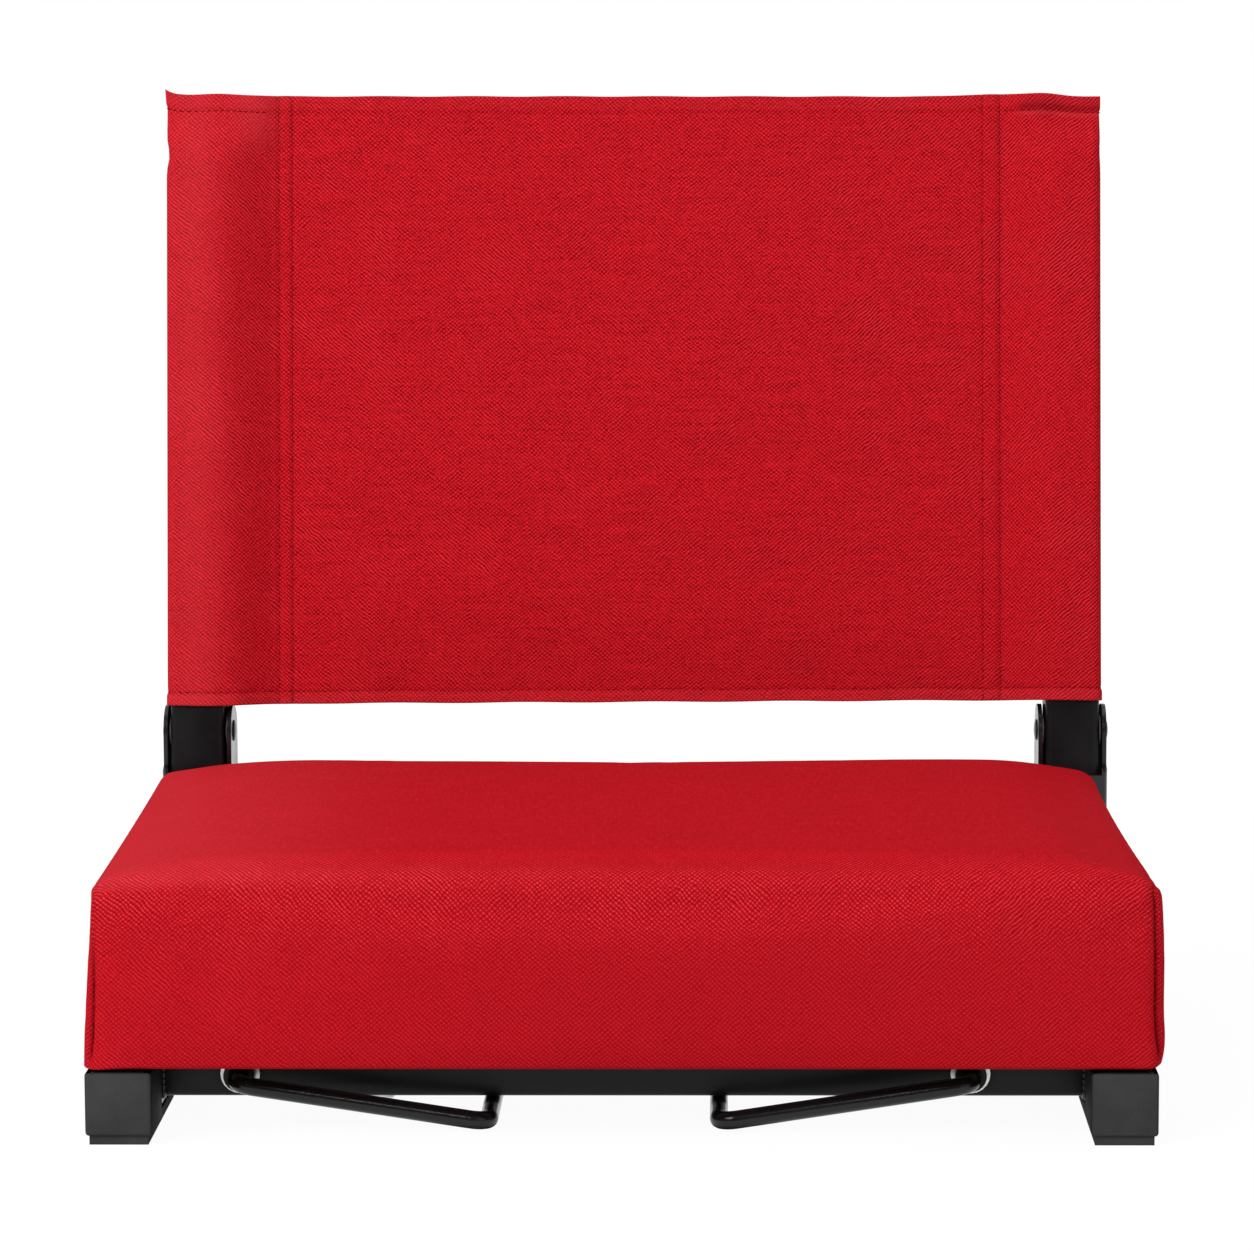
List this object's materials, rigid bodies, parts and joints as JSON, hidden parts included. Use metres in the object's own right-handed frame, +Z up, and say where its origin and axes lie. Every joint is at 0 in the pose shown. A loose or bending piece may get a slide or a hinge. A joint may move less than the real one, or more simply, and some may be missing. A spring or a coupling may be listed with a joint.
{
  "type": "stadium chair",
  "caption": "Folding stadium chair with a thick padded seat, a stretched sling back on hinged posts and swinging wire hooks under the front that grip a bench.",
  "frame": {"origin": "on the floor, under the middle of the four feet", "axes": "+X to the right as seen from the front, +Y to the rear, where the backrest stands, +Z up"},
  "size_m": [0.4416, 0.3696, 0.4194],
  "materials": {
    "black_powder_coat": "satin black powder coat on steel tube, sheet and rod",
    "dark_grey_plastic": "moulded, fine matte texture",
    "black_plastic": "moulded, matte",
    "zinc_plated_steel": "bright zinc plating",
    "pale_nylon": "smooth pale nylon",
    "red_woven_polyester": "plain woven polyester canvas, matte",
    "cream_foam": "open cell seat foam",
    "plywood": "plain plywood"
  },
  "bodies": {
    "base": {"left_base_rail": "black_powder_coat", "right_base_rail": "black_powder_coat", "front_cross_tube": "black_powder_coat", "rear_cross_tube": "black_powder_coat", "front_left_foot_boot": "dark_grey_plastic", "front_right_foot_boot": "dark_grey_plastic", "rear_left_foot_boot": "dark_grey_plastic", "rear_right_foot_boot": "dark_grey_plastic", "left_hinge_bracket": "black_powder_coat", "right_hinge_bracket": "black_powder_coat", "front_left_bracket_rivet": "black_powder_coat", "front_right_bracket_rivet": "black_powder_coat", "rear_left_bracket_rivet": "black_powder_coat", "rear_right_bracket_rivet": "black_powder_coat", "left_hinge_pin": "black_powder_coat", "right_hinge_pin": "black_powder_coat", "left_inner_hinge_washer": "pale_nylon", "left_outer_hinge_washer": "pale_nylon", "right_inner_hinge_washer": "pale_nylon", "right_outer_hinge_washer": "pale_nylon", "front_left_hook_washer": "zinc_plated_steel", "front_right_hook_washer": "zinc_plated_steel", "rear_left_hook_washer": "zinc_plated_steel", "rear_right_hook_washer": "zinc_plated_steel", "seat_board": "plywood", "seat_foam": "cream_foam", "seat_cover": "red_woven_polyester", "front_left_seat_screw": "zinc_plated_steel", "front_right_seat_screw": "zinc_plated_steel", "rear_left_seat_screw": "zinc_plated_steel", "rear_right_seat_screw": "zinc_plated_steel", "front_left_tee_nut": "zinc_plated_steel", "front_right_tee_nut": "zinc_plated_steel", "rear_left_tee_nut": "zinc_plated_steel", "rear_right_tee_nut": "zinc_plated_steel"},
    "backrest": {"back_sling": "red_woven_polyester", "left_back_post": "black_powder_coat", "right_back_post": "black_powder_coat", "left_post_top_plug": "black_plastic", "left_post_foot_plug": "black_plastic", "right_post_top_plug": "black_plastic", "right_post_foot_plug": "black_plastic"},
    "left_hook": {"left_hook": "black_powder_coat", "left_hook_collar": "black_powder_coat", "left_hook_nut": "zinc_plated_steel"},
    "right_hook": {"right_hook": "black_powder_coat", "right_hook_collar": "black_powder_coat", "right_hook_nut": "zinc_plated_steel"}
  },
  "joints": [
    {"name": "backrest_fold", "type": "hinge", "parent": "base", "child": "backrest", "pos_m": [0, 0.12983, 0.124], "axis": [1, 0, 0], "range_deg": [0, 92]},
    {"name": "left_hook_swing", "type": "hinge", "parent": "base", "child": "left_hook", "pos_m": [-0.1585, -0.12883, 0.02], "axis": [0, 1, 0], "range_deg": [0, 130]},
    {"name": "right_hook_swing", "type": "hinge", "parent": "base", "child": "right_hook", "pos_m": [0.1435, -0.12883, 0.02], "axis": [0, -1, 0], "range_deg": [0, 130]}
  ]
}
